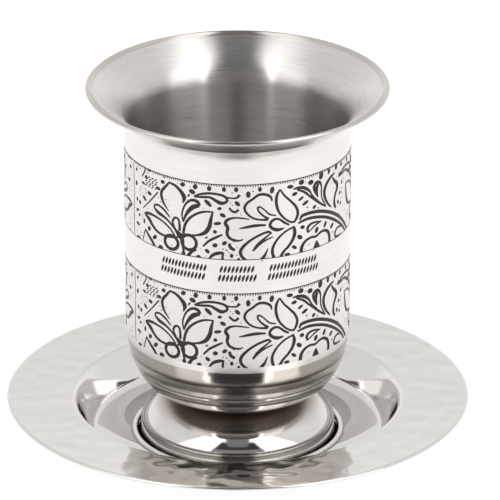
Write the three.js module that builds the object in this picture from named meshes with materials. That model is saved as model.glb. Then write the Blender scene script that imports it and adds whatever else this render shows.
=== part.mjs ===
// A kiddush cup of stainless steel on its own saucer. The bowl is spun sheet with a flared
// lip, a hollow domed foot is welded under it, and the saucer has a ring that keeps the
// foot in the middle. Units are millimetres, +Z is up, and the origin is the middle of the
// saucer's underside, on the table.
import * as THREE from "three";

// Driving dimensions
const SHEET = 0.8; // thickness of the steel sheet of all three pieces
const TURN_FACETS = 52; // facets round each turned piece
const CURVE_STEPS = 3; // facets along each short curve of a profile
const ROUND_STEPS = 4; // facets across a rounded edge or the saucer's ring
const LONG_STEPS = 7; // facets down the flare and down the foot's dome
const BOTTOM_STEPS = { outside: 10, inside: 8 }; // facets along the bowl's rounded bottom

// Saucer
const SAUCER_RADIUS = 56.2;
const SAUCER_HEIGHT = 10.2;
const SAUCER_EDGE = 0.6; // how far the rounded outer edge stands out past the rim
const RIM_INNER_RADIUS = 40.6; // where the broad rim begins to turn down
const RIM_RISE = 0.5; // how much the rim climbs towards its edge
const WELL_WALL_TOP = { radius: 38.9, height: 8.2 };
const WELL_WALL_FOOT = { radius: 36.0, height: 2.6 };
const WELL_FLOOR_RADIUS = 34.3;
const COVE_REACH = 0.4; // how far inside the wall's foot the floor's cove bends up
const SHOULDER_REACH = 0.8; // how far outside the wall's top the shoulder bends over
const RING_RADIUS = 25.2; // middle of the ring that the foot stands in
const RING_WIDTH = 1.75;
const RING_HEIGHT = 1.0;
const RING_HOLLOW = { width: 1.0, height: 0.5 }; // the crease pressed in from below

// Cup foot
const FOOT_RADIUS = 23.7;
const FOOT_EDGE = { radius: 23.55, height: 4.1 }; // where the dome meets the foot's band
const WELD_RADIUS = 11.1;
const WELD_HEIGHT = 11.45; // where the bowl is welded on
const DOME_TOP = { radius: 17.3, height: 11.1 }; // the curve leaves the weld towards this
const DOME_SIDE = { radius: 23.1, height: 6.5 }; // and comes down to its edge from this

// Bowl
const BODY_RADIUS = 27.45;
const BODY_TAPER = 0.25; // how much narrower the body is at its lower end
const BODY_BOTTOM = 33.2; // where the straight body turns in
const BODY_TOP = 80.4; // where the lip begins to flare
const BOTTOM_ROUNDNESS = 2.64; // exponent of the superellipse under the body
const FLARE_END = { radius: 36.35, height: 90.0 }; // where the lip's rounded edge begins
const LIP_BULGE = 0.5; // how far the rounded edge stands out past the flare
const FLARE_POWER = 2.1; // the wall flares as this power of the height above the body

// Turned lines on the bowl
const BORDER_HEIGHTS = [48.1, 56.7, 76.3]; // lines that edge the ornament bands
const BORDER = { width: 0.5, depth: 0.12 };
const GROOVE = { height: 18.7, width: 0.9, depth: 0.3 }; // groove under the body

const point = (r, z) => new THREE.Vector2(r, z);

function steps(count) {
  return Array.from({ length: count + 1 }, (_, i) => i / count);
}

// The outline moved sideways by the sheet, away from the side that its points turn to.
function offset(points, distance) {
  return points.map((p, i) => {
    const before = points[Math.max(i - 1, 0)];
    const after = points[Math.min(i + 1, points.length - 1)];
    const along = after.clone().sub(before).normalize();
    return point(Math.max(p.x - along.y * distance, 0), p.y + along.x * distance);
  });
}

// Half a circle from one point to the other, bulging to the right of the way there.
function roundEdge(from, to, bulge) {
  const middle = from.clone().add(to).multiplyScalar(0.5);
  const half = to.clone().sub(from).multiplyScalar(0.5);
  const out = point(half.y, -half.x).setLength(bulge);
  return steps(ROUND_STEPS).slice(1, -1).map((t) =>
    middle.clone()
      .addScaledVector(half, -Math.cos(Math.PI * t))
      .addScaledVector(out, Math.sin(Math.PI * t)));
}

// One closed turned piece from an outline that starts and ends on the axis.
function turned(name, outline, material) {
  const geometry = new THREE.LatheGeometry(outline, TURN_FACETS);
  geometry.rotateX(Math.PI / 2);
  const mesh = new THREE.Mesh(geometry, material);
  mesh.name = name;
  return mesh;
}

// The bowl's outer radius at a height, above the rounded bottom.
function bodyRadius(z) {
  const down = Math.max(BODY_TOP - z, 0) / (BODY_TOP - BODY_BOTTOM);
  const up = Math.max(z - BODY_TOP, 0) / (FLARE_END.height - BODY_TOP);
  const flare = FLARE_END.radius - BODY_RADIUS;
  return BODY_RADIUS - BODY_TAPER * down + flare * up ** FLARE_POWER;
}

// Outer line of the rounded bottom: a superellipse from the weld to the body.
function bottomPoint(t) {
  const reach = bodyRadius(BODY_BOTTOM) - WELD_RADIUS;
  const depth = BODY_BOTTOM - WELD_HEIGHT;
  const power = 2 / BOTTOM_ROUNDNESS;
  const angle = (t * Math.PI) / 2;
  return point(
    WELD_RADIUS + reach * Math.sin(angle) ** power,
    BODY_BOTTOM - depth * Math.cos(angle) ** power);
}

function bottomCurve(count) {
  return steps(count).map(bottomPoint);
}

function flareCurve() {
  return steps(LONG_STEPS).map((t) => {
    const z = THREE.MathUtils.lerp(BODY_TOP, FLARE_END.height, t);
    return point(bodyRadius(z), z);
  });
}

// A shallow V turned into the wall.
function turnedLine(z, radiusAt, { width, depth }) {
  return [
    point(radiusAt(z - width / 2), z - width / 2),
    point(radiusAt(z) - depth, z),
    point(radiusAt(z + width / 2), z + width / 2),
  ];
}

// The rounded bottom with its groove let in between the points on either side.
function groovedBottom(bottom) {
  const below = bottom.filter((p) => p.y < GROOVE.height - GROOVE.width);
  const above = bottom.filter((p) => p.y > GROOVE.height + GROOVE.width);
  const from = below[below.length - 1];
  const to = above[0];
  const chord = (z) => THREE.MathUtils.mapLinear(z, from.y, to.y, from.x, to.x);
  return [...below, ...turnedLine(GROOVE.height, chord, GROOVE), ...above];
}

function bowl(steel) {
  const outside = [
    point(0, WELD_HEIGHT),
    ...groovedBottom(bottomCurve(BOTTOM_STEPS.outside)),
    ...BORDER_HEIGHTS.flatMap((z) => turnedLine(z, bodyRadius, BORDER)),
    ...flareCurve(),
  ];
  const inner = [point(0, WELD_HEIGHT), ...bottomCurve(BOTTOM_STEPS.inside), ...flareCurve()];
  const inside = offset(inner, SHEET);
  const lip = roundEdge(outside.at(-1), inside.at(-1), LIP_BULGE);
  return turned("bowl", [...outside, ...lip, ...inside.reverse()], steel);
}

// The foot's outer line from the weld to its edge: a low dome with a rounded shoulder.
function domeCurve() {
  const dome = new THREE.CubicBezierCurve(
    point(WELD_RADIUS, WELD_HEIGHT),
    point(DOME_TOP.radius, DOME_TOP.height),
    point(DOME_SIDE.radius, DOME_SIDE.height),
    point(FOOT_EDGE.radius, FOOT_EDGE.height));
  return dome.getPoints(LONG_STEPS);
}

function foot(steel) {
  const curve = domeCurve();
  const outside = [point(0, WELD_HEIGHT), ...curve, point(FOOT_RADIUS, SHEET)];
  const underCurve = offset(curve, -SHEET);
  const inside = [
    point(0, WELD_HEIGHT - SHEET),
    ...underCurve.filter((p) => p.y < WELD_HEIGHT - SHEET),
    point(FOOT_RADIUS - SHEET, SHEET),
  ];
  return turned("foot", [...inside, ...outside.reverse()], steel);
}

// Top line of the saucer outside its ring: floor, cove, wall, shoulder and broad rim.
function saucerSlope() {
  const rimHeight = SAUCER_HEIGHT - RIM_RISE;
  const slope = new THREE.Path();
  slope.moveTo(WELL_FLOOR_RADIUS, SHEET);
  slope.quadraticCurveTo(
    WELL_WALL_FOOT.radius - COVE_REACH, SHEET, WELL_WALL_FOOT.radius, WELL_WALL_FOOT.height);
  slope.lineTo(WELL_WALL_TOP.radius, WELL_WALL_TOP.height);
  slope.quadraticCurveTo(
    WELL_WALL_TOP.radius + SHOULDER_REACH, rimHeight, RIM_INNER_RADIUS, rimHeight);
  slope.lineTo(SAUCER_RADIUS - SAUCER_EDGE, SAUCER_HEIGHT);
  return slope.getPoints(CURVE_STEPS);
}

function ringOutline() {
  return steps(ROUND_STEPS).map((t) => point(
    RING_RADIUS - (RING_WIDTH / 2) * Math.cos(Math.PI * t),
    SHEET + RING_HEIGHT * Math.sin(Math.PI * t)));
}

function saucer(steel) {
  const slope = saucerSlope();
  const under = offset(slope, -SHEET);
  const crease = [
    point(RING_RADIUS - RING_HOLLOW.width / 2, 0),
    point(RING_RADIUS, RING_HOLLOW.height),
    point(RING_RADIUS + RING_HOLLOW.width / 2, 0),
  ];
  const top = [point(0, SHEET), ...ringOutline(), ...slope];
  const edge = roundEdge(under.at(-1), slope.at(-1), SAUCER_EDGE);
  const outline = [point(0, 0), ...crease, ...under, ...edge, ...top.reverse()];
  return turned("saucer", outline, steel);
}

const brushedSteel = new THREE.MeshStandardMaterial(
  { color: 0xd9d6d2, roughness: 0.32, metalness: 1 });
const polishedSteel = new THREE.MeshStandardMaterial(
  { color: 0xe2e0dd, roughness: 0.08, metalness: 1 });
const softSteel = new THREE.MeshStandardMaterial(
  { color: 0xdedcd9, roughness: 0.16, metalness: 1 });

const cup = new THREE.Group();
cup.add(bowl(brushedSteel), foot(polishedSteel));
const set = new THREE.Group();
set.add(cup, saucer(softSteel));

export default set;
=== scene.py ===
"""A kiddush cup of etched stainless steel standing on its own saucer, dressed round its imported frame."""

import math

import bpy
import numpy as np
from mathutils.geometry import delaunay_2d_cdt
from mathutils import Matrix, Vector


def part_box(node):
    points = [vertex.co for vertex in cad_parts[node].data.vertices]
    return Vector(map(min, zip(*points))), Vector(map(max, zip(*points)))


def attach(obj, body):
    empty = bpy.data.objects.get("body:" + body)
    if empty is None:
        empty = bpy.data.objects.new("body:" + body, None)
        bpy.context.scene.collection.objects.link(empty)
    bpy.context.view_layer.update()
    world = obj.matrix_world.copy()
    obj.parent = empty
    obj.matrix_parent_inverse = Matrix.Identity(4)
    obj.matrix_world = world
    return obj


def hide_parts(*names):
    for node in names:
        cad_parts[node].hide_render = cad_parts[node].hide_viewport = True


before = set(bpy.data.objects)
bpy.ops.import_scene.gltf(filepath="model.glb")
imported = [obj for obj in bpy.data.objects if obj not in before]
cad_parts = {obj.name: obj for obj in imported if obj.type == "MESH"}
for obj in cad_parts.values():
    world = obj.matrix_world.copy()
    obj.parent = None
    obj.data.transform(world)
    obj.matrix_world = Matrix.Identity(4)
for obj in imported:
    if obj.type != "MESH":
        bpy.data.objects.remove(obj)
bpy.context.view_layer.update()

# ---------------------------------------------------------------------------------- bowl
# The drinking vessel: one disc of stainless steel sheet spun over a chuck, so that every
# line left by the tool runs round it. The inside is left brushed, the outside is satin and
# the bottom polished. Two bands of flowers are etched through a stencil and blackened.
MM = 0.001
ROUND = 192  # steps round the bowl
bowl_low, bowl_high = (np.array(corner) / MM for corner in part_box("bowl"))
foot_low, foot_high = (np.array(corner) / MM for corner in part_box("foot"))
SHEET = foot_low[2]  # the foot stands on the saucer's floor, one sheet above the table
WELD = np.array([11.1, bowl_low[2]])
BODY_RADIUS = 27.45
BODY_TAPER = 0.25  # how much narrower the body is at its lower end
BODY_LOW, BODY_HIGH = 33.2, 80.4  # the straight part of the body
BOTTOM_ROUNDNESS = 2.64  # exponent of the superellipse under the body
LIP_REACH, LIP_RISE = 0.25, 0.77  # the rounded lip outside the end of the flare
FLARE = np.array([bowl_high[0] - LIP_REACH, bowl_high[2] - LIP_RISE])
FLARE_POWER = 2.1
GROOVE_HEIGHT, GROOVE_DEPTH, GROOVE_HALF = 18.7, 0.3, 0.3
FACE_LOW, FACE_HIGH = 28.0, 77.5  # the stretch of the body that carries the etched work


def body_radius(z):
    """A straight taper, a power curve added above the body and a superellipse under it."""
    taper = BODY_TAPER * np.clip((BODY_HIGH - z) / (BODY_HIGH - BODY_LOW), 0, 1)
    up = np.maximum(z - BODY_HIGH, 0) / (FLARE[1] - BODY_HIGH)
    wall = BODY_RADIUS - taper + (FLARE[0] - BODY_RADIUS) * up**FLARE_POWER
    down = np.clip((BODY_LOW - z) / (BODY_LOW - WELD[1]), 0, 1)
    return WELD[0] + (wall - WELD[0]) * (1 - down**BOTTOM_ROUNDNESS) ** (1 / BOTTOM_ROUNDNESS)


def bottom_heights(count):
    """Heights from the weld to FACE_LOW at even angles of the superellipse."""
    depth = BODY_LOW - WELD[1]
    last = math.acos(((BODY_LOW - FACE_LOW) / depth) ** (BOTTOM_ROUNDNESS / 2))
    return BODY_LOW - depth * np.cos(np.linspace(0, last, count)) ** (2 / BOTTOM_ROUNDNESS)


def wall_rows(z):
    """Rows of radius and height on the bowl's outer line."""
    return np.stack([body_radius(z), z], 1)


def moved_in(rows, distance):
    """Each row moved square to the line, towards the left of its way, and kept off the axis."""
    way = np.gradient(rows, axis=0)
    way /= np.linalg.norm(way, axis=1)[:, None]
    moved = rows + distance * np.stack([-way[:, 1], way[:, 0]], 1)
    return np.stack([np.maximum(moved[:, 0], 0), moved[:, 1]], 1)


def round_edge(start, end, bulge, count):
    """Half an ellipse from start to end, standing out to the right of the way there."""
    middle, half = (start + end) / 2, (end - start) / 2
    out = np.array([half[1], -half[0]]) / np.linalg.norm(half) * bulge
    angle = np.linspace(0, np.pi, count + 2)[1:-1, None]
    return middle - half * np.cos(angle) + out * np.sin(angle)


def ring_points(radius, height, turn):
    """Points at a turn in radians: x = r sin a, y = -r cos a, so that turn 0 is the front."""
    return np.stack(np.broadcast_arrays(radius * np.sin(turn), -radius * np.cos(turn), height), -1)


def tool_path(turn, way):
    """What a tool mark follows: the direction round the axis, and the way along the outline in mm."""
    return np.stack(np.broadcast_arrays(np.cos(turn), np.sin(turn), way), -1)


def lathe(line, way, count=ROUND):
    """An outline turned round Z: points, tool paths, faces, and the row of each face.
    The outline runs up the outside, so that its faces point out. A row on the axis is one point."""
    turn = np.arange(count) * 2 * np.pi / count
    points = ring_points(line[:, :1], line[:, 1:], turn).reshape(-1, 3)
    paths = tool_path(turn, way[:, None]).reshape(-1, 3)
    index = np.arange(len(line))[:, None] * count + np.arange(count)
    index = np.where(line[:, :1] < 1e-9, index[:, :1], index)
    low, high = index[:-1], index[1:]
    quads = np.stack([low, np.roll(low, -1, 1), np.roll(high, -1, 1), high], -1)
    return points, paths, quads.reshape(-1, 4), np.repeat(np.arange(len(line) - 1), count)


def distance_along(line):
    """Distance along an outline from its first row."""
    return np.concatenate([[0], np.cumsum(np.linalg.norm(np.diff(line, axis=0), axis=1))])


def steel_piece(name, points, paths, faces, finishes, sharp=None):
    """A mesh object at the origin from points in mm, with its tool paths as the attribute turning.
    faces is a list of (corners, material index of each); a corner repeated at a pole is dropped.
    sharp holds pairs of corners whose edge stays crisp."""
    polygons, slots = [], []
    for corners, slot in faces:
        repeated = corners == np.roll(corners, 1, 1)
        whole = ~repeated.any(1)
        polygons += corners[whole].tolist()
        polygons += [row[~twice] for row, twice in zip(corners[~whole], repeated[~whole])]
        slots += slot[whole].tolist() + slot[~whole].tolist()
    used = np.unique(np.concatenate(polygons))
    renumber = np.zeros(len(points), int)
    renumber[used] = np.arange(len(used))
    mesh = bpy.data.meshes.new(name)
    mesh.from_pydata((points[used] * MM).tolist(), [], [renumber[p].tolist() for p in polygons])
    for finish in finishes:
        mesh.materials.append(finish)
    mesh.polygons.foreach_set("material_index", np.array(slots, np.int32))
    mesh.shade_smooth()
    turning = mesh.attributes.new("turning", "FLOAT_VECTOR", "POINT")
    turning.data.foreach_set("vector", paths[used].astype(np.float32).ravel())
    if sharp is not None:
        ends = np.empty(len(mesh.edges) * 2, np.int32)
        mesh.edges.foreach_get("vertices", ends)
        keys = np.sort(ends.reshape(-1, 2), 1) @ [1, len(used)]
        crisp = np.isin(keys, np.sort(renumber[sharp], 1) @ [1, len(used)])
        mesh.attributes.new("sharp_edge", "BOOLEAN", "EDGE").data.foreach_set("value", crisp)
    piece = bpy.data.objects.new(name, mesh)
    bpy.context.scene.collection.objects.link(piece)
    return piece


def linear(code):
    """An sRGB hex colour as the linear colour that a shader takes."""
    part = np.array([int(code[i : i + 2], 16) for i in (1, 3, 5)]) / 255
    return (*np.where(part <= 0.04045, part / 12.92, ((part + 0.055) / 1.055) ** 2.4).tolist(), 1)


def add(tree, kind, sockets=(), **settings):
    """A node of this kind with its settings; each socket gets a plain value or another's output."""
    made = kind if isinstance(kind, bpy.types.Node) else tree.nodes.new(kind)
    for name, value in settings.items():
        setattr(made, name, value)
    for name, value in dict(sockets).items():
        if isinstance(value, bpy.types.NodeSocket):
            tree.links.new(value, made.inputs[name])
        else:
            made.inputs[name].default_value = value
    return made


def turned_steel(name, light, dark, gloss, lines, streak, cut, stretch):
    """Steel whose tool marks run round the axis: noise drawn out along them sets colour, gloss and
    relief. lines is marks in each mm, streak their length in radians, cut their depth in metres
    and stretch how far they draw the highlights out."""
    material = bpy.data.materials.new(name)
    material.use_nodes = True
    tree = material.node_tree
    path = add(tree, "ShaderNodeAttribute", attribute_name="turning").outputs["Vector"]
    scale = (1 / streak, 1 / streak, lines)
    drawn = add(tree, "ShaderNodeMapping", {"Vector": path, "Scale": scale}).outputs[0]
    marks = add(tree, "ShaderNodeTexNoise", {"Vector": drawn, "Scale": 1, "Detail": 3}).outputs[0]
    colour = {0: marks, 6: linear(dark), 7: linear(light)}
    rough = {"Value": marks, "To Min": gloss[0], "To Max": gloss[1]}
    sockets = {
        "Base Color": add(tree, "ShaderNodeMix", colour, data_type="RGBA").outputs[2],
        "Metallic": 1,
        "Roughness": add(tree, "ShaderNodeMapRange", rough).outputs[0],
        "Normal": add(tree, "ShaderNodeBump", {"Height": marks, "Distance": cut}).outputs[0],
        "Anisotropic": stretch,
        "Anisotropic Rotation": 0.25,
        "Tangent": add(tree, "ShaderNodeTangent", direction_type="RADIAL", axis="Z").outputs[0],
    }
    add(tree, tree.nodes["Principled BSDF"], sockets)
    return material


def painted_reflection(steel, part, span, shade, dull):
    """Paints a reflection into a steel: draws its colour towards a shade and its roughness towards dull,
    by a smooth step over the span of this part (X, Y or Z) of its tool paths."""
    tree, shader = steel.node_tree, steel.node_tree.nodes["Principled BSDF"]
    path = add(tree, "ShaderNodeAttribute", attribute_name="turning").outputs["Vector"]
    value = add(tree, "ShaderNodeSeparateXYZ", {0: path}).outputs[part]
    ends = {"Value": value, "From Min": span[0], "From Max": span[1]}
    share = add(tree, "ShaderNodeMapRange", ends, interpolation_type="SMOOTHSTEP").outputs[0]
    colour, rough = (shader.inputs[name].links[0].from_socket for name in ("Base Color", "Roughness"))
    colours = {0: share, 6: colour, 7: linear(shade)}
    tinted = add(tree, "ShaderNodeMix", colours, data_type="RGBA").outputs[2]
    dulled = add(tree, "ShaderNodeMix", {0: share, 2: rough, 3: dull}).outputs[0]
    add(tree, shader, {"Base Color": tinted, "Roughness": dulled})


# Spun and then brushed with grit on the lathe: soft reflections drawn out across the marks.
# The real marks are finer than 0.1 mm, so they are drawn a few times coarser to show.
brushed_inside = turned_steel(
    "brushed spun steel", "#e4e2df", "#c2beba", gloss=(0.25, 0.33),
    lines=2.2, streak=0.3, cut=3e-5, stretch=1,
)
# Rubbed with a fine abrasive pad: pale, even, with only a broad sheen.
satin_outside = turned_steel(
    "satin steel", "#eeebe8", "#dedad6", gloss=(0.24, 0.34),
    lines=1.6, streak=0.25, cut=1.5e-6, stretch=0.4,
)
# Buffed with a mop after the spinning: mirror bright, with the wheel's faint rings left in it.
polished_bottom = turned_steel(
    "buffed steel", "#cac5bf", "#b3ada7", gloss=(0.09, 0.16),
    lines=0.8, streak=0.6, cut=2e-6, stretch=0,
)
# The underside of the flare is buffed brighter still, right up to the lip.
mirror_flare = turned_steel(
    "mirror buffed flare", "#dfdcd9", "#d5d2ce", gloss=(0.03, 0.06),
    lines=0.8, streak=0.6, cut=1e-6, stretch=0,
)
# Its front stretch is drawn dark brown. This tint stands in for something dark that the steel
# would mirror there; it isn't known to be a colour of the steel itself.
DARK_FROM, DARK_FULL = 0.76, 0.88  # cosines of the turn from the front: about 40 and 28 degrees
painted_reflection(mirror_flare, "X", (DARK_FROM, DARK_FULL), "#2f2925", 0.1)
# The ground that the acid bath left frosted between the drawn parts.
frosted_ground = turned_steel(
    "acid frosted steel", "#eeebe7", "#d9d5d0", gloss=(0.42, 0.55),
    lines=2.5, streak=0.05, cut=3e-6, stretch=0,
)

# Ornament: one drawing in two bands, each stroke as (along, height, width) at points of its
# middle line, in mm from the front and from the band's lower edge. It fills half the turn.
# A lily with three open petals, three buds and the stalk between its two berries.
LILY = [
    [
        (-17.2, 18.2, 0.3), (-18.5, 16.7, 0.6), (-19.8, 15, 0.7), (-19.7, 13.3, 0.75),
        (-19, 12, 0.5), (-17.6, 10.5, 0.1),
    ],
    [
        (-17.4, 18, 0.4), (-15.7, 17.6, 0.65), (-14.2, 16.5, 0.85), (-13.2, 15.1, 1.1),
        (-13.6, 13.5, 0.15),
    ],
    [
        (-13.5, 8.7, 0.3), (-13.8, 10.8, 0.35), (-12.9, 13.3, 0.4), (-11.3, 14.7, 0.6),
        (-9.7, 14.5, 0.75), (-9.2, 13.5, 0.6),
    ],
    [
        (-9.3, 13.6, 0.8), (-10.8, 13, 1.1), (-12, 11.8, 0.85), (-12.9, 10.3, 0.55),
        (-13.5, 8.6, 0.2),
    ],
    [
        (-13.5, 5.7, 0.6), (-13, 8, 0.6), (-11.9, 9.8, 0.55), (-10.2, 11.2, 0.5),
        (-8.2, 12.1, 0.45), (-5.8, 12.3, 0.25),
    ],
    [
        (-5.9, 12.4, 0.3), (-6.4, 10.3, 0.7), (-6.8, 8.4, 0.95), (-7.8, 6.8, 0.9), (-9.6, 5.9, 0.5),
        (-11.3, 5.6, 0.35), (-13.2, 5.5, 0.4),
    ],
    [
        (-17.2, 8.9, 0.2), (-18.9, 10.4, 0.5), (-20.9, 11.2, 0.45), (-22.2, 10.8, 0.4),
        (-22.3, 10.1, 0.4),
    ],
    [
        (-22.4, 10.2, 0.4), (-21, 9.3, 0.85), (-18.9, 8.6, 0.6), (-17.4, 7.7, 0.45),
        (-16.5, 6.8, 0.3),
    ],
    [
        (-26.1, 7.4, 0.4), (-24.5, 8, 0.7), (-22.2, 8, 0.5), (-19.6, 7.4, 0.4), (-17.4, 6.2, 0.4),
        (-15.8, 4.5, 0.35),
    ],
    [
        (-25.8, 7.3, 0.4), (-24.2, 6.6, 1), (-22.9, 5.3, 0.75), (-21.2, 4.2, 0.6),
        (-18.9, 3.8, 0.5), (-16.6, 4, 0.4), (-14.9, 4.4, 0.3),
    ],
    [
        (-15, 5.1, 0.5), (-16.1, 6.9, 0.5), (-16.5, 8.2, 0.5), (-15.7, 9.3, 0.5), (-14.8, 9, 0.5),
        (-14.5, 7.6, 0.55), (-14.5, 6.1, 0.6),
    ],
    [
        (-17, 7.3, 0.2), (-15.8, 6.2, 0.5), (-14.6, 5.1, 1.3), (-13.7, 3.7, 0.9), (-13.6, 1.9, 0.5),
        (-13.2, 0.3, 0.5),
    ],
    [(-12.9, 5.3, 0.5), (-14.2, 5.1, 0.9), (-15.2, 4.6, 0.5)],
    [(-10, 2, 0.3), (-11.4, 1.2, 0.6), (-12.3, -0.1, 0.9)],
]
# A long curled leaf above the lily, and the tendril from its tip.
LEAF = [
    [
        (-10.7, 15.8, 0.2), (-8.9, 16.6, 0.5), (-6.6, 17.05, 0.5), (-4.3, 16.9, 0.5),
        (-2.9, 16.4, 0.55), (-2.4, 15.5, 0.6), (-3, 14.7, 0.4),
    ],
    [
        (-10.5, 15.7, 0.3), (-8.4, 15.9, 0.5), (-6.6, 16, 0.5), (-5.2, 15.3, 0.7),
        (-3.9, 14.7, 0.85), (-2.7, 15, 0.5),
    ],
    [(-2.7, 16.3, 0.3), (-1.4, 16.1, 0.3), (-0.1, 16.2, 0.4), (0.5, 17, 0.7)],
]
# The big open blossom: petals round a pointed heart.
BLOSSOM = [
    [
        (2.9, 10.6, 0.15), (1.2, 10.9, 0.3), (-0.6, 11.05, 0.35), (-2.2, 10.6, 0.6),
        (-2.9, 9.6, 0.75), (-2.3, 8.4, 0.75), (-2.5, 7, 0.65), (-1.9, 5.8, 0.6), (-0.6, 5.2, 0.5),
        (0.6, 5.15, 0.35), (1.4, 5.45, 0.15),
    ],
    [(0.4, 8.2, 0.15), (2.3, 8.6, 0.55), (4.6, 8.9, 0.65), (6.9, 8.8, 0.35)],
    [
        (8.4, 14.8, 0.2), (8.1, 15.9, 0.5), (6.9, 16.7, 0.6), (5.2, 16.8, 0.55), (3.7, 15.8, 0.5),
        (2.3, 14.8, 0.5), (1.7, 13.5, 0.55), (2.3, 12.1, 0.45), (3.7, 10.9, 0.4), (5.6, 10.3, 0.4),
        (7.4, 10.2, 0.6),
    ],
    [(4.8, 13.4, 0.45), (5.3, 13.7, 0.35), (6.5, 12.8, 0.25), (7.8, 11.5, 0.35), (9.5, 11, 0.2)],
    [(4.9, 13.6, 0.4), (5, 12.7, 0.35), (6.1, 11.4, 0.4), (7.6, 10.3, 0.5)],
    [
        (10.4, 17.6, 0.3), (9.6, 16.1, 0.6), (9.5, 14, 0.65), (10.2, 11.7, 0.5), (11.6, 9.9, 0.4),
        (13.2, 8.7, 0.4), (14.4, 8.5, 0.5),
    ],
    [
        (10.4, 17.6, 0.3), (11.5, 15.9, 0.4), (13.1, 14.2, 0.45), (14.5, 12.6, 0.55),
        (15.2, 10.9, 0.65), (14.9, 9.4, 0.65), (14.2, 8.4, 0.4),
    ],
    [
        (12.9, 8, 0.35), (11.6, 8.8, 0.5), (10.4, 9.8, 0.45), (9.3, 10.1, 0.55), (8.2, 9.5, 0.65),
        (7.9, 8.5, 0.65), (8.6, 7.7, 0.7), (9.9, 7.2, 0.8), (11.5, 7.4, 0.2),
    ],
    [
        (8.3, 6.4, 0.25), (7.6, 7, 0.5), (5.7, 6.5, 0.5), (3.7, 5.5, 0.5), (1.9, 4.1, 0.6),
        (0.8, 2.6, 0.7), (0.9, 1.3, 0.65), (1.7, 0.3, 0.6), (2.5, -0.2, 0.5),
    ],
    [(3.7, 2.3, 0.35), (4.8, 3.7, 0.75), (5.8, 4.8, 0.5), (7.2, 5.9, 0.35), (8.2, 6.6, 0.3)],
    [(4.9, 3.8, 0.7), (6.6, 4.8, 0.4), (8.7, 5.6, 0.2)],
    [(5.7, -0.3, 1), (6.7, 1.1, 0.55), (7.4, 2.7, 0.12)],
    [
        (14.3, 7.3, 0.4), (12.2, 6.6, 0.4), (10.3, 5.3, 0.45), (9, 3.6, 0.55), (8.5, 1.8, 0.65),
        (9, -0.3, 0.7),
    ],
    [
        (14.1, 7.3, 0.5), (14.4, 5.8, 0.85), (13.9, 4.1, 0.75), (12.7, 2.5, 0.6), (11.4, 1.3, 0.6),
        (10.4, -0.3, 0.8),
    ],
]
# The two lines of the stem that arches from the blossom to the lower edge.
STEM = [
    [
        (15.9, 8.5, 0.3), (16.3, 9.5, 0.7), (18.5, 9.75, 0.75), (21.5, 9.4, 0.75), (25, 8.2, 0.75),
        (28.2, 6.5, 0.75), (31.2, 4.3, 0.7), (33.7, 1.9, 0.65), (35.7, -0.3, 0.6),
    ],
    [
        (15.3, 7.9, 0.4), (18, 8.4, 0.65), (20.8, 8.1, 0.65), (24.1, 7.1, 0.65), (27.4, 5.4, 0.65),
        (30.5, 3.3, 0.6), (32.7, 1.4, 0.55), (34.3, -0.3, 0.5),
    ],
]
# A twig above the stem that ends in a small trumpet.
TWIG = [
    [
        (13.9, 17, 0.25), (15.4, 17.1, 0.6), (17.2, 16.6, 0.75), (18.6, 15.5, 0.5),
        (19.2, 14.5, 0.35), (20.2, 13.2, 0.4), (21.4, 12.1, 0.4),
    ],
    [
        (14.9, 16.7, 0.35), (16.9, 15.7, 0.5), (18.6, 14.2, 0.45), (20.4, 12.7, 0.5),
        (22.3, 11.2, 0.5), (24.2, 9.8, 0.2),
    ],
    [
        (21.3, 13.3, 0.3), (20.4, 14.8, 0.6), (20, 16.2, 0.7), (20.7, 17, 0.8), (21.8, 16.9, 0.7),
        (22.5, 15.7, 0.4), (22.5, 13.9, 0.35), (22.8, 12.4, 0.3), (23.6, 10.9, 0.3),
        (24.3, 9.9, 0.15),
    ],
    [(21.5, 16.5, 0.6), (20.9, 15.7, 1), (20.9, 14.5, 0.8), (21.3, 13.2, 0.3)],
]
# A bud seen from the side.
BUD = [
    [
        (27.8, 17.4, 0.3), (26, 16.8, 0.7), (24.4, 15.6, 0.85), (23.6, 14, 0.9), (23.9, 12.1, 0.7),
        (25, 10.3, 0.5), (26.3, 9, 0.3),
    ],
    [
        (26.8, 16.5, 0.4), (27.7, 15.3, 0.7), (28.8, 14.3, 0.95), (29, 13.1, 1), (28.1, 11.7, 0.75),
        (27.7, 10.3, 0.7), (27.9, 8.9, 0.8), (28.6, 8, 0.2),
    ],
]
# A half flower on the lower edge, with a leaf over it and a berry beside it.
SPRAY = [
    [
        (16.2, -0.3, 0.9), (16.4, 1.5, 0.85), (17.5, 2.8, 0.65), (19.2, 3.3, 0.5), (20.8, 3.1, 0.5),
        (22.2, 3.7, 0.55), (23.7, 3.8, 0.6), (25.1, 3, 0.75), (25.7, 1.6, 0.85), (25.7, -0.3, 0.8),
    ],
    [(21, 2, 0.15), (21, 0.9, 1.5), (21, -0.4, 2.5)],
    [(22.6, 6.5, 0.15), (20.7, 6.85, 0.4), (19.1, 6.8, 0.55), (18.1, 6, 0.75), (18.2, 4.8, 0.35)],
    [(18.2, 4.8, 0.3), (19.5, 5.5, 0.3), (20.9, 6.2, 0.35), (22.4, 6.5, 0.15)],
    [
        (31.4, 2.2, 0.2), (29.8, 2.6, 0.45), (28.6, 2.2, 0.55), (28.1, 1.1, 0.6), (28.9, 0.4, 0.5),
        (31.6, 0.2, 0.3),
    ],
]
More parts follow.
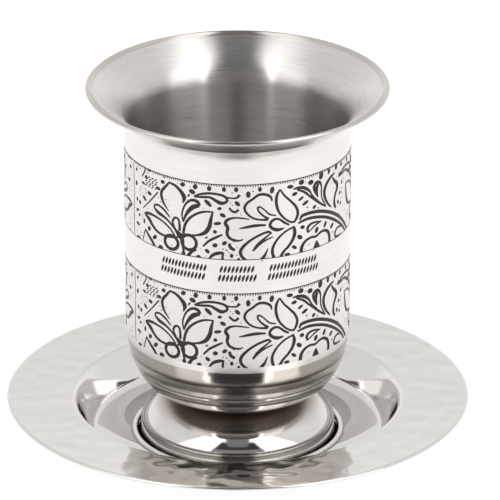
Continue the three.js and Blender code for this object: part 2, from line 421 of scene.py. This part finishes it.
# Loose sprigs that fill the ground.
SPRIGS = [
    [(-8.4, 3.1, 0.3), (-6.9, 4.7, 0.5), (-5.1, 5.8, 0.5), (-3.6, 6.6, 0.3)],
    [(-7, -0.1, 0.3), (-5.9, 1.2, 0.7), (-4.3, 1.8, 0.75), (-3.3, 1.8, 0.4)],
    [(-3.3, 2, 0.3), (-3.6, 0.9, 0.5), (-3.5, -0.2, 0.5)],
    [(-2, 13.6, 0.35), (-1.3, 12.8, 0.5), (-0.5, 12.5, 0.5), (0.3, 13.2, 0.5)],
    [(-1.9, 4.4, 0.55), (-1.7, 3.4, 0.75), (-0.6, 2.6, 0.6)],
    [(-7.9, 15.2, 0.5), (-7.2, 14.6, 0.9), (-6.3, 13.7, 0.5)],
    [(-25.4, 19.5, 0.3), (-26, 18.1, 0.3), (-27, 16.7, 0.2)],
    [(-21, 14.5, 0.3), (-23.6, 11.6, 0.25), (-26.6, 8.7, 0.15)],
    [(-26.9, 0.3, 0.2), (-26.2, 2.2, 0.25), (-25.7, 3.3, 0.3)],
    [(-25.8, 3.5, 0.3), (-24.4, 2.2, 0.7), (-23, 1, 0.75), (-22, -0.2, 0.7)],
]
# Seeds: middle along and up, half length, half width, and turn in degrees.
SEEDS = [
    (-25.2, 17.1, 0.55, 0.4, 0), (-24, 13.3, 0.7, 0.45, -10), (-26.4, 15.2, 0.65, 0.3, -10),
    (-24, 19.2, 0.5, 0.28, -10), (-19.4, 17.6, 0.6, 0.45, 10), (-20.8, 15.5, 0.55, 0.4, 0),
    (-26, 11.4, 0.8, 0.4, -35), (-28, 9.7, 0.45, 0.45, 0), (-29.3, 10.1, 0.4, 0.45, 0),
    (-29.2, 7.3, 0.7, 0.32, 20), (-26.2, 5.4, 0.6, 0.35, 90), (-24.2, 4.1, 0.6, 0.5, 50),
    (-22.2, 2.5, 0.8, 0.45, 38), (-29, 3.8, 0.8, 0.35, -10), (-29.6, 14.1, 0.65, 0.38, 70),
    (-18.9, 18.9, 0.2, 0.15, 0), (-28.8, 0.3, 0.8, 0.35, 5), (-29.5, 17.7, 0.5, 0.3, 60),
    (-28.3, 6.3, 0.4, 0.3, 40), (-13.6, 18.3, 0.65, 0.5, 20), (-10.3, 18.3, 0.65, 0.55, 70),
    (-6.8, 18.3, 0.6, 0.5, 90), (-3.2, 18.3, 0.6, 0.45, 90), (-0.3, 18.3, 0.6, 0.45, 90),
    (2.6, 17, 0.8, 0.5, 90), (5.4, 18.2, 0.6, 0.42, 90), (8.4, 17.7, 0.85, 0.5, 80),
    (13.1, 17.8, 0.8, 0.45, -5), (16.2, 18.3, 0.75, 0.6, 0), (19, 17.6, 0.8, 0.6, 0),
    (22.4, 18.4, 0.95, 0.7, 80), (25.3, 18.6, 0.7, 0.45, 90), (28.4, 18.7, 0.7, 0.5, 90),
    (-11.1, 16.9, 0.8, 0.55, -20), (-12, 15.8, 0.5, 0.18, 52), (-4.3, 13.3, 0.5, 0.35, 10),
    (-3.5, 11.6, 0.72, 0.45, -28), (0, 14.7, 0.75, 0.45, -45), (-4.8, 9.4, 0.9, 0.38, 12),
    (-5.4, 7.2, 0.45, 0.4, 0), (-5.4, 3.7, 0.6, 0.5, 20), (-3.1, 4.4, 0.65, 0.42, 40),
    (-7.3, 2, 0.65, 0.42, -40), (-1.4, 1.2, 0.5, 0.38, 90), (-7.5, 5.5, 0.35, 0.16, 30),
    (-2.6, 2.6, 0.18, 0.14, 0), (-0.9, 4.9, 0.15, 0.12, 0), (-20.2, 0.3, 0.75, 0.7, 0),
    (-9.5, 0.2, 0.6, 0.5, 0), (-13.5, 0.5, 0.5, 0.5, 45), (0.3, 0.3, 0.3, 0.3, 0),
    (14.3, 15.7, 0.72, 0.42, 12), (16.1, 14.1, 0.78, 0.32, 25), (17.4, 12.7, 0.95, 0.38, 24),
    (20.2, 10.9, 0.55, 0.4, 30), (18, 11.4, 0.2, 0.15, 0), (17.8, 15.1, 0.25, 0.12, 30),
    (21.5, 10.3, 0.2, 0.12, 0), (16.6, 6.6, 0.62, 0.45, -10), (15.8, 4.2, 0.8, 0.5, -35),
    (14.3, 1.9, 0.75, 0.38, -35), (12.4, 0.4, 0.7, 0.4, 0), (21, 4.7, 0.75, 0.5, 60),
    (24, 5.3, 0.8, 0.42, 60), (26.7, 4, 0.8, 0.4, 38), (27.2, 2.2, 0.2, 0.15, 0),
    (29.5, 9.2, 0.5, 0.42, 90), (30.4, 11.3, 0.5, 0.35, 40), (30, 16.1, 0.6, 0.35, 60),
    (31, 18.5, 0.55, 0.4, 80), (31.5, 13.7, 0.5, 0.3, 60), (30.8, 8.5, 0.4, 0.3, 40),
    (29.9, 5.8, 0.3, 0.2, 20),
]
# The lily's berries: middle along and up, half width, half height, and width of the line.
BERRIES = [(-16.9, 2.6, 1.95, 1.75, 0.75), (-12.0, 3.6, 1.95, 1.9, 0.7)]
TILE = ROUND // 2  # steps round the bowl that one drawing fills
STEP = 2 * np.pi * BODY_RADIUS / ROUND  # width of one step on the body
TILE_START = -35  # the step where the drawing in front begins
BANDS = [(56.7, 76.3), (28.5, 48.1)]  # lower and upper edge of each band of flowers
MIRROR = 28.0  # the hidden end of the drawing is its lily again, mirrored about half of this
LILY_REACH = -26.6  # how far along the lily starts
LEAF_MOVE = 40.3
FATTEN = 0.14  # the acid eats a little under the stencil, so each mark is wider than it was drawn
THINNEST = 0.05
SAMPLING = 0.6  # mm between the points of a stroke's edges
SEED_TIP = 0.12  # a seed's edges stop this angle short of its tips, so that they stay blunt
PRICK_STEPS = 4  # points along each edge of a prick
ETCH_DEPTH = 0.1


def stroke(points):
    """Left and right edges of a stroke: cubic Hermite curves through its points, with the mean
    slope of the neighbours at each, cut into equal steps and moved out by half the width."""
    rows = np.array(points, float)
    slope = np.gradient(rows, axis=0)
    share = np.ceil(np.hypot(*np.diff(rows[:, :2], axis=0).T) / SAMPLING).astype(int).clip(1)
    place = np.concatenate([i + np.arange(n) / n for i, n in enumerate(share)] + [[len(rows) - 1]])
    i = np.minimum(place.astype(int), len(rows) - 2)
    t = (place - i)[:, None]
    line = (2 * t**3 - 3 * t**2 + 1) * rows[i] + (t**3 - 2 * t**2 + t) * slope[i]
    line += (3 * t**2 - 2 * t**3) * rows[i + 1] + (t**3 - t**2) * slope[i + 1]
    way = np.gradient(line[:, :2], axis=0)
    way /= np.linalg.norm(way, axis=1)[:, None]
    half = np.maximum(line[:, 2:] + FATTEN, THINNEST) / 2
    side = np.stack([-way[:, 1], way[:, 0]], 1) * half
    return np.stack([line[:, :2] + side, line[:, :2] - side], 1)


def seed(along, up, length, width, turn, count=7):
    """An ellipse as a stroke: both edges of it at even angles from tip to tip."""
    angle = np.linspace(SEED_TIP, np.pi - SEED_TIP, count)
    across = np.sin(angle) * (width + FATTEN / 2)
    flat = np.stack([-np.cos(angle) * (length + FATTEN / 2), across], 1)
    turn = math.radians(turn)
    axes = np.array([[math.cos(turn), math.sin(turn)], [-math.sin(turn), math.cos(turn)]])
    return np.stack([flat @ axes, (flat * [1, -1]) @ axes], 1) + [along, up]


def berry(along, up, half_width, half_height, line):
    """A ring as a stroke that closes on itself: an ellipse's line between two larger and smaller."""
    angle = np.linspace(0, 2 * np.pi, 25)
    unit = np.stack([np.cos(angle), np.sin(angle)], 1)
    size, half = np.array([half_width, half_height]), (line + FATTEN) / 2
    return np.stack([unit * (size - half), unit * (size + half)], 1) + [along, up]


def mirrored(mark):
    """The same mark about the drawing's hidden axis, with its edges swapped to keep their sides."""
    return mark[:, ::-1] * [-1, 1] + [MIRROR, 0]


DASH = [(0, 0, 0.08), (0.4, 0.2, 0.2), (0.8, 0.45, 0.08)]  # one dash of the hatching
DASH_SHIFT = 0.3  # every other row of dashes starts this much further along


def hatching(along, up, width, height, columns, rows):
    """A patch of short slanted dashes, as a leaf in shade is drawn: equal steps along and up."""
    row, column = np.divmod(np.arange(columns * rows), columns)
    left = along + width * column / columns + DASH_SHIFT * (row % 2)
    low = up + height * row / rows
    return [stroke([(a + x, b + y, wide) for x, y, wide in DASH]) for a, b in zip(left, low)]


chance = np.random.default_rng(18)
lily = [stroke(s) for s in LILY] + [berry(*b) for b in BERRIES]
LILY_CORNER = (-5.8, 6)  # seeds before and above this stand round the lily
by_lily = [s[0] < LILY_CORNER[0] and s[1] > LILY_CORNER[1] for s in SEEDS]
near_lily = [seed(*s) for s, near in zip(SEEDS, by_lily) if near]
leaf = [stroke(s) for s in LEAF]
drawing = lily + leaf + near_lily
for part in (BLOSSOM, STEM, TWIG, BUD, SPRAY, SPRIGS):
    drawing += [stroke(s) for s in part]
drawing += [seed(*s) for s, near in zip(SEEDS, by_lily) if not near]
drawing += [mirrored(m) for m in lily + near_lily] + [m + [LEAF_MOVE, 0] for m in leaf]
drawing = [m for m in drawing if m[..., 0].max() < MIRROR - LILY_REACH]
drawing += hatching(-25.6, 14.9, 4.6, 2.9, 4, 5)

# Pricks in the ground between the drawn parts, wherever one falls clear of them. The petals
# and berries stay bare: each round spot of PETALS is its middle and radius.
PETALS = np.array([
    (-15.8, 15.0, 3.0), (-15.5, 11.0, 1.6), (-8.7, 8.9, 3.4), (-21.0, 6.0, 3.0), (-12.0, 3.6, 1.6),
    (0.6, 8.0, 3.6), (5.5, 13.7, 4.2), (11.5, 13.5, 3.0), (10.4, 8.5, 1.5), (4.5, 3.0, 3.8),
    (11.7, 3.7, 3.0),
])
PRICKS = 900  # about a fifth of them fall clear
PRICK_FIELD = [-31, 0.5], [54, 19]
PRICK_SIZES = 0.02, 0.12
CLEARANCE = 0.5
taken = np.concatenate([m.reshape(-1, 2) for m in drawing])
pricks = chance.uniform(*PRICK_FIELD, (PRICKS, 2))
gaps = np.min(np.linalg.norm(pricks[:, None] - taken[None], axis=2), axis=1)
bare = np.zeros(len(pricks), bool)
for spot in (pricks, pricks * [-1, 1] + [MIRROR, 0]):
    bare |= (np.linalg.norm(spot[:, None] - PETALS[:, :2], axis=2) < PETALS[:, 2]).any(1)
pricks = pricks[(gaps > CLEARANCE) & ~bare]
for (along, up), size in zip(pricks, chance.uniform(*PRICK_SIZES, (PRICKS, 2))):
    drawing.append(seed(along, up, *size, 0, PRICK_STEPS))

# The line where the stencil's ends meet, beside the lily.
drawing.append(stroke([(-31.0, 0.4, 0.1), (-31.15, 6, 0.2), (-30.9, 12, 0.12), (-31.1, 18.8, 0.2)]))

# Stitches that hang from the upper border of each band.
STITCH_SPACING = 0.62
for a in np.arange(-31.0, 54.5, STITCH_SPACING):
    drawing.append(stroke([(a, 19.45, 0.1), (a, 18.95, 0.14)]))

# Between the bands, three groups of plain slanted dashes in two rows stand in the place of
# the blessing. They are all of one kind, pointed at both ends, and aren't letters.
GROUPS = [(-20.0, -7.9), (-4.6, 4.2), (7.5, 21.2)]
GROUP_ROWS = [51.1, 53.4]
PLAIN_BAND = (GROUP_ROWS[0] - 1, GROUP_ROWS[1] + 3)  # the heights between which both rows lie
ROW_SHIFT = 0.4
PLAIN_DASH = [(0, 0, 0.1), (0.3, 0.9, 0.55), (0.6, 1.8, 0.1)]
PLAIN_SPACING = 0.95
inscription = []
for start, end in GROUPS:
    for i, row in enumerate(GROUP_ROWS):
        for a in np.arange(start + ROW_SHIFT * i, end, PLAIN_SPACING):
            inscription.append(stroke([(a + x, row + y, wide) for x, y, wide in PLAIN_DASH]))

# The face of the body, laid flat: steps along, heights up, triangulated so that every stroke,
# border line and step of the turn is an edge of it.
marks = [
    mark + [-tile * TILE * STEP, low]
    for tile in (0, 1) for low, _ in BANDS for mark in drawing
] + inscription
BORDERS = [(76.02, 76.3), (56.7, 56.92), (47.82, 48.1)]
LOW_ROWS = [28.5, 29.5, 30.5, 31.5, 32.5]  # close together where the body turns in
HIGH_ROWS = [40.0, 52.0, 66.0]
border_rows = [z for border in BORDERS for z in border]
heights = np.unique([FACE_LOW, *LOW_ROWS, BODY_LOW, *HIGH_ROWS, FACE_HIGH, *border_rows])
columns = np.arange(TILE_START - TILE, TILE_START + TILE + 1)
flat = [(column * STEP, z) for z in heights for column in columns]
spot = np.arange(len(flat)).reshape(len(heights), len(columns))
edges = np.concatenate([
    np.stack([spot[:-1], spot[1:]], -1).reshape(-1, 2),
    np.stack([spot[:, :-1], spot[:, 1:]], -1).reshape(-1, 2),
])
strips = []
for mark in marks:
    start = len(flat) + 2 * np.arange(len(mark) - 1)[:, None]
    strips += (start + [1, 3, 2, 0]).tolist()
    flat += mark.reshape(-1, 2).tolist()
WHOLE_OUTLINE, NEARNESS = 0, 1e-5  # triangles fill the outline; points this near are one
flat = [tuple(map(float, p)) for p in flat]
cut = delaunay_2d_cdt(flat, edges.tolist(), strips, WHOLE_OUTLINE, NEARNESS, True)
face_flat = np.array([tuple(p) for p in cut[0]])
triangles = np.array(cut[2])
in_mark = np.array([len(owners) > 0 for owners in cut[5]])
middle = face_flat[triangles].mean(1)
inside = (abs(middle[:, 0] - columns[[0, -1]].mean() * STEP) < TILE * STEP)
inside &= (middle[:, 1] > FACE_LOW) & (middle[:, 1] < FACE_HIGH)
triangles, in_mark, middle = triangles[inside], in_mark[inside], middle[inside]


def between(z, spans):
    """Whether each height lies in one of the spans."""
    return np.any([(z > low) & (z < high) for low, high in spans], axis=0)


in_band = between(middle[:, 1], BANDS)
in_plain_band = between(middle[:, 1], [PLAIN_BAND])
etched = in_mark & (in_band | in_plain_band) | between(middle[:, 1], BORDERS)

# The rest of the bowl is turned: up the outside, over the lip, and down the inside.
SATIN_LOW, SATIN_HIGH = 26.3, 85.0  # the satin ends here, under the body and under the lip
RIPPLE_DEPTH, RIPPLE_PITCH = 0.05, 4.2  # waves that the spinning roller left in the bottom
GROOVE_SPAN = 3  # the rows stand closer together this many half widths to each side of it
near_groove = GROOVE_HEIGHT + GROOVE_HALF * np.linspace(-GROOVE_SPAN, GROOVE_SPAN, 13)
bottom_z = np.unique(np.concatenate([bottom_heights(34), near_groove, [FACE_LOW]]))
dent = GROOVE_DEPTH * np.exp(-(((bottom_z - GROOVE_HEIGHT) / GROOVE_HALF) ** 2))
dent += RIPPLE_DEPTH * np.sin(2 * np.pi * bottom_z / RIPPLE_PITCH) ** 2 * (bottom_z < SATIN_LOW)
bottom = wall_rows(bottom_z) - np.stack([dent, 0 * dent], 1)
flare = wall_rows(np.linspace(FACE_HIGH, FLARE[1], 22))
straight_z = np.linspace(FACE_LOW, FACE_HIGH, 6)[1:]
whole_z = np.concatenate([bottom_heights(18), straight_z, flare[1:, 1]])
inner = moved_in(np.concatenate([[[0, WELD[1]]], wall_rows(whole_z)]), SHEET)[::-1]
LIP_ROLL = 0.56  # radius of the lip's rolled edge, which stands out on both sides of the sheet
ROLL_FROM, ROLL_TO = -120, 150  # degrees that it goes round, from outwards
lip_middle = np.array([bowl_high[0], bowl_high[2]]) - LIP_ROLL
angle = np.radians(np.linspace(ROLL_FROM, ROLL_TO, 19))[:, None]
lip = lip_middle + LIP_ROLL * np.concatenate([np.cos(angle), np.sin(angle)], 1)
flare = flare[np.linalg.norm(flare - lip_middle, axis=1) > LIP_ROLL]
inner = inner[np.linalg.norm(inner - lip_middle, axis=1) > LIP_ROLL]
outer_low = np.concatenate([[[0, WELD[1]], [WELD[0] / 2, WELD[1]]], bottom])
outer_high = np.concatenate([flare, lip, inner])
way_low = distance_along(outer_low)
way_low += FACE_LOW - way_low[-1]
way_high = FACE_HIGH + distance_along(outer_high)
low_points, low_paths, low_quads, low_rows = lathe(outer_low, way_low)
high_points, high_paths, high_quads, high_rows = lathe(outer_high, way_high)
high_quads = high_quads + len(low_points)

# The face goes round the body between the two; its border points are the turned rows' own.
turn = face_flat[:, 0] / BODY_RADIUS
face_points = ring_points(body_radius(face_flat[:, 1]), face_flat[:, 1], turn)
floor_points = ring_points(body_radius(face_flat[:, 1]) - ETCH_DEPTH, face_flat[:, 1], turn)
face_paths = tool_path(turn, face_flat[:, 1])
first = len(low_points) + len(high_points)
ids = first + np.arange(len(face_flat))
step_of = np.round(face_flat[:, 0] / STEP).astype(int) % ROUND
SAME = 1e-4  # mm within which two points are one
at_low = abs(face_flat[:, 1] - FACE_LOW) < SAME
at_high = abs(face_flat[:, 1] - FACE_HIGH) < SAME
ids[at_low] = (len(outer_low) - 1) * ROUND + step_of[at_low]
ids[at_high] = len(low_points) + step_of[at_high]
seam = [np.where(abs(face_flat[:, 0] - columns[end] * STEP) < SAME)[0] for end in (0, -1)]
seam = [side[np.argsort(face_flat[side, 1])] for side in seam]
ids[seam[1]] = ids[seam[0]]
floor_ids = first + len(face_flat) + np.arange(len(face_flat))
floor_ids[seam[1]] = floor_ids[seam[0]]
top, floor = ids[triangles[~etched]], floor_ids[triangles[etched]]

# Each etched part has a floor and a wall round it, from the rim down to the floor.
ways = np.concatenate([triangles[etched][:, pair] for pair in ([0, 1], [1, 2], [2, 0])])
pair_key = [floor_ids.max() + 1, 1]  # makes one number of two ids
rim = ways[~np.isin(ids[ways] @ pair_key, ids[ways[:, ::-1]] @ pair_key)]
walls = np.concatenate([ids[rim], floor_ids[rim[:, ::-1]]], 1)
crisp = np.concatenate([walls[:, [0, 1]], walls[:, [2, 3]], walls[:, [1, 2]]])
INSIDE, SATIN, POLISHED, FROSTED, BLACK, MIRRORED = range(6)
satin_flare = (high_rows < len(flare)) & (outer_high[high_rows, 1] < SATIN_HIGH)
stretches = [satin_flare, high_rows < len(flare) - 1, high_rows < len(flare) + len(lip)]
high_slots = np.select(stretches, [SATIN, MIRRORED, POLISHED], INSIDE)
bowl_faces = [
    (low_quads, np.where(outer_low[low_rows, 1] < SATIN_LOW, POLISHED, SATIN)),
    (high_quads, high_slots),
    (top, np.where(in_band[~etched], FROSTED, SATIN)),
    (floor, np.full(len(floor), BLACK)),
    (walls, np.full(len(walls), BLACK)),
]
blackened_etch = turned_steel(
    "blackened etch", "#4a4644", "#34302f", gloss=(0.3, 0.5),
    lines=3.0, streak=0.04, cut=4e-6, stretch=0,
)
bowl = steel_piece(
    "etched_bowl",
    np.concatenate([low_points, high_points, face_points, floor_points]),
    np.concatenate([low_paths, high_paths, face_paths, face_paths]),
    bowl_faces,
    [brushed_inside, satin_outside, polished_bottom, frosted_ground, blackened_etch, mirror_flare],
    crisp,
)
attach(bowl, "root")
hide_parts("bowl")

# ---------------------------------------------------------------------------------- foot
# A hollow domed foot, pressed from the same sheet and welded under the bowl. It rounds
# over into a plain upright band, rolled in at its lower edge, and it is buffed to a mirror.
FOOT_ROUND = 256
FOOT_EDGE = np.array([23.55, 4.1])
DOME_TOP, DOME_SIDE = np.array([17.3, 11.1]), np.array([23.1, 6.5])  # what its curve bends to
foot_radius = foot_high[0]
t = np.linspace(0, 1, 64)[:, None]
dome = (1 - t) ** 3 * WELD + 3 * t * (1 - t) ** 2 * DOME_TOP
dome += 3 * t**2 * (1 - t) * DOME_SIDE + t**3 * FOOT_EDGE
FOOT_ROLL = np.array([0.6, 0.9])  # the band's lower edge is rolled in this far
BAND_ROWS = np.array([[0.3], [0.7]])  # rows of the band, as shares of the way down it
roll = np.array([foot_radius - FOOT_ROLL[0], SHEET + FOOT_ROLL[1]])
angle = np.linspace(0, np.pi / 2, 9)
band = FOOT_EDGE + BAND_ROWS * ([foot_radius, roll[1]] - FOOT_EDGE)
rolled = roll + FOOT_ROLL * np.stack([np.cos(angle), -np.sin(angle)], 1)
under = moved_in(np.concatenate([[[0, WELD[1]]], dome]), -SHEET)
outside = np.concatenate([[[0, WELD[1]]], dome, band, rolled])[::-1]
foot_line = np.concatenate([under, [[foot_radius - SHEET, roll[1]]], outside])
foot_way = distance_along(foot_line)
foot_points, foot_paths, foot_quads, foot_rows = lathe(foot_line, foot_way, FOOT_ROUND)
# Buffed on the lathe: nearly a mirror, with faint rings that show only in its reflections.
foot_polish = turned_steel(
    "mirror buffed steel", "#dcdad8", "#cdcac7", gloss=(0.04, 0.08),
    lines=0.7, streak=0.5, cut=2e-6, stretch=0,
)
# Under the bowl, where a mop hardly reaches, the dome is drawn dull, and brown as a painted reflection:
# the brown stands in for something dark that the steel mirrors there, not for a colour of the steel.
# The brown is taken for a heat tint of the weld, and could be a reflection instead.
BROWN_REACH, BROWN_FULL = 11.5, 5.5  # mm from the weld where the brown begins and is complete
weld_way = foot_way[-2]
painted_reflection(foot_polish, "Z", (weld_way - BROWN_REACH, weld_way - BROWN_FULL), "#93857a", 0.42)
foot = steel_piece(
    "domed_foot", foot_points, foot_paths, [(foot_quads, foot_rows * 0)], [foot_polish]
)
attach(foot, "root")
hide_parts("foot")

# -------------------------------------------------------------------------------- saucer
# A saucer pressed from one sheet: a flat well with a bead that keeps the foot in the
# middle, and a broad rim struck all over with a round hammer, then polished bright.
PLATE_ROUND = 384
saucer_high = np.array(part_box("saucer")[1]) / MM
PLATE_EDGE = 0.6
plate_radius, plate_height = saucer_high[0] - PLATE_EDGE, saucer_high[2]
RIM_IN, RIM_RISE = 40.6, 0.5
WALL_TOP, WALL_FOOT = np.array([38.9, 8.2]), np.array([36.0, 2.6])
FLOOR_RADIUS = 34.3
COVE_REACH, SHOULDER_REACH = 0.4, 0.8  # how far the bends at the wall's foot and top reach past it
BEAD_RADIUS, BEAD_WIDTH, BEAD_HEIGHT, CREASE = 25.2, 1.75, 1.0, 0.5
rim_height = plate_height - RIM_RISE


def bend(start, corner, end, count):
    """A quadratic Bezier curve: start and end pulled towards the corner."""
    t = np.linspace(0, 1, count)[:, None]
    return (1 - t) ** 2 * np.array(start) + 2 * t * (1 - t) * np.array(corner) + t**2 * np.array(end)


arch = np.linspace(0, np.pi, 17)
bead = np.stack([BEAD_RADIUS - BEAD_WIDTH / 2 * np.cos(arch), SHEET + BEAD_HEIGHT * np.sin(arch)], 1)
crease = bead * [1, 0] + np.stack([0 * arch, CREASE * np.sin(arch) ** 3], 1)
cove = bend([FLOOR_RADIUS, SHEET], [WALL_FOOT[0] - COVE_REACH, SHEET], WALL_FOOT, 12)
shoulder = bend(WALL_TOP, [WALL_TOP[0] + SHOULDER_REACH, rim_height], [RIM_IN, rim_height], 12)
rim_t = np.linspace(0, 1, 34)[1:, None]
rim_line = (1 - rim_t) * [RIM_IN, rim_height] + rim_t * [plate_radius, plate_height]
slope = np.concatenate([cove, shoulder, rim_line])
below = moved_in(slope, -SHEET)
below[:, 1] = np.maximum(below[:, 1], 0)
edge = round_edge(below[-1], slope[-1], PLATE_EDGE, 9)
upper = np.concatenate([slope[::-1], bead[::-1], [[0, SHEET]]])
plate_line = np.concatenate([[[0, 0]], crease, below, edge, upper])
plate_way = distance_along(plate_line)
plate_points, plate_paths, plate_quads, plate_rows = lathe(plate_line, plate_way, PLATE_ROUND)

# The hammer's dents stand in rings round the rim, each a shallow round dish that shows on
# both sides of the sheet.
DENT_RINGS = [43.8, 48.6, 53.2]
DENT_SPACING, DENT_RADIUS, DENT_DEPTH = 6.4, 3.6, 0.08
DENT_DRIFT, DENT_SPREAD = 0.4, 1.6  # how far a blow strays: share of the spacing, and mm in or out
dents = []
for ring in DENT_RINGS:
    blows = round(2 * math.pi * ring / DENT_SPACING)
    turn = (np.arange(blows) + chance.uniform(-DENT_DRIFT, DENT_DRIFT, blows)) * 2 * np.pi / blows
    reach = ring + chance.uniform(-DENT_SPREAD, DENT_SPREAD, blows)
    dents.append(np.stack([reach * np.sin(turn), -reach * np.cos(turn)], 1))
dents = np.concatenate(dents)
on_rim = np.hypot(*plate_points[:, :2].T) > RIM_IN
away = np.linalg.norm(plate_points[on_rim, None, :2] - dents[None], axis=2) / DENT_RADIUS
plate_points[on_rim, 2] -= DENT_DEPTH * (np.clip(1 - away**2, 0, 1) ** 2).sum(1)
# Polished after the hammering: bright, and even but for the dents themselves.
hammered_steel = turned_steel(
    "hammered bright steel", "#d9d7d4", "#d5d3d0", gloss=(0.06, 0.09),
    lines=1, streak=0.8, cut=2e-7, stretch=0,
)
saucer = steel_piece(
    "hammered_saucer", plate_points, plate_paths, [(plate_quads, plate_rows * 0)], [hammered_steel]
)
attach(saucer, "root")
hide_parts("saucer")

# --------------------------------------------------------------------------------- floor
# A white table top under a studio tent. It glows a little, as lit paper does from below.
TABLE = 3  # half its width in metres
corners = [(-TABLE, -TABLE, 0), (TABLE, -TABLE, 0), (TABLE, TABLE, 0), (-TABLE, TABLE, 0)]
floor_mesh = bpy.data.meshes.new("table_top")
floor_mesh.from_pydata(corners, [], [(0, 1, 2, 3)])
table = bpy.data.objects.new("table_top", floor_mesh)
bpy.context.scene.collection.objects.link(table)
PAPER_GLOW = 0.84
paper = bpy.data.materials.new("lit white paper")
paper.use_nodes = True
paper_sockets = {
    "Base Color": linear("#8c8c8c"), "Roughness": 0.9, "Specular IOR Level": 0.0,
    "Emission Color": linear("#ffffff"), "Emission Strength": PAPER_GLOW,
}
add(paper.node_tree, paper.node_tree.nodes["Principled BSDF"], paper_sockets)
floor_mesh.materials.append(paper)

# --------------------------------------------------------------------------------- light
# A white tent all round, with a dark gap in front where the camera looks in.
world = bpy.data.worlds.new("white tent")
world.use_nodes = True
bpy.context.scene.world = world
sky = world.node_tree
ray = add(sky, "ShaderNodeTexCoord").outputs["Generated"]
ray = add(sky, "ShaderNodeSeparateXYZ", {0: ray}).outputs
front = add(sky, "ShaderNodeMath", {0: ray[1], 1: -1}, operation="MULTIPLY").outputs[0]
azimuth = add(sky, "ShaderNodeMath", {0: ray[0], 1: front}, operation="ARCTAN2").outputs[0]
height = add(sky, "ShaderNodeMath", {0: ray[2]}, operation="ARCSINE").outputs[0]
sideways = add(sky, "ShaderNodeMath", {0: ray[0]}, operation="ARCSINE").outputs[0]


def window(value, middle, half, soft):
    """1 within half of the middle, falling smoothly to 0 over soft; all in degrees."""
    away = add(sky, "ShaderNodeMath", {0: value, 1: math.radians(middle)}, operation="SUBTRACT")
    away = add(sky, "ShaderNodeMath", {0: away.outputs[0]}, operation="ABSOLUTE").outputs[0]
    ends = {"Value": away, "From Min": math.radians(half), "From Max": math.radians(half + soft)}
    fall = {**ends, "To Min": 1, "To Max": 0}
    return add(sky, "ShaderNodeMapRange", fall, interpolation_type="SMOOTHSTEP").outputs[0]


# Each panel of the tent: middle, half width and softness across and up, and its brightness.
# Panels under the ridge are placed by turn, those at the ridge by how far they lean sideways.
# The first makes the tent brighter near the table; the next two are the gap in front.
PANELS = [
    (sideways, 0, 90, 1, 0, 8, 32, 1.12),
    (azimuth, 0, 30, 3, 0, 30, 10, 0.3),
    (azimuth, 0, 29, 2, 57, 18, 10, 0.06),
    (azimuth, 36, 2, 1, 40, 48, 8, 5.0),
    (azimuth, -36, 2, 1, 40, 48, 8, 5.0),
    (azimuth, 56, 16, 4, 45, 42, 15, 2.3),
    (azimuth, -56, 16, 4, 45, 42, 15, 1.7),
    (azimuth, 99, 14, 14, 25, 35, 20, 1.0),
    (azimuth, -99, 14, 14, 25, 35, 20, 0.95),
    (sideways, 28, 18, 3, 90, 22, 8, 1.9),
    (sideways, -28, 18, 3, 90, 22, 8, 1.7),
    (sideways, 0, 8, 3, 90, 35, 8, 0.25),
]
TENT_GLOW = 0.92
light = add(sky, "ShaderNodeValue").outputs[0]
light.default_value = TENT_GLOW
for angle, middle, half, soft, up_middle, up_half, up_soft, brightness in PANELS:
    across = window(angle, middle, half, soft)
    upward = window(height, up_middle, up_half, up_soft)
    share = add(sky, "ShaderNodeMath", {0: across, 1: upward}, operation="MULTIPLY").outputs[0]
    light = add(sky, "ShaderNodeMix", {0: share, 2: light, 3: brightness}).outputs[0]
add(sky, sky.nodes["Background"], {"Color": linear("#ffffff"), "Strength": light})

# -------------------------------------------------------------------------------- camera
# A long lens, a little over the rim, so that the rim shows as a narrow ellipse.
CAMERA_HEIGHT = math.radians(23.03)
CAMERA_DISTANCE = 1.937
AIM = np.array([0.003, 0, 0.0478])
SENSOR, LENS = 36, 576
camera_data = bpy.data.cameras.new("camera")
camera_data.sensor_width, camera_data.lens = SENSOR, LENS
camera = bpy.data.objects.new("camera", camera_data)
back = np.array([0, -math.cos(CAMERA_HEIGHT), math.sin(CAMERA_HEIGHT)])
camera.location = AIM + CAMERA_DISTANCE * back
camera.rotation_euler = (math.pi / 2 - CAMERA_HEIGHT, 0, 0)
bpy.context.scene.collection.objects.link(camera)
bpy.context.scene.camera = camera
bpy.context.scene.view_settings.view_transform = "Standard"

bpy.context.view_layer.update()
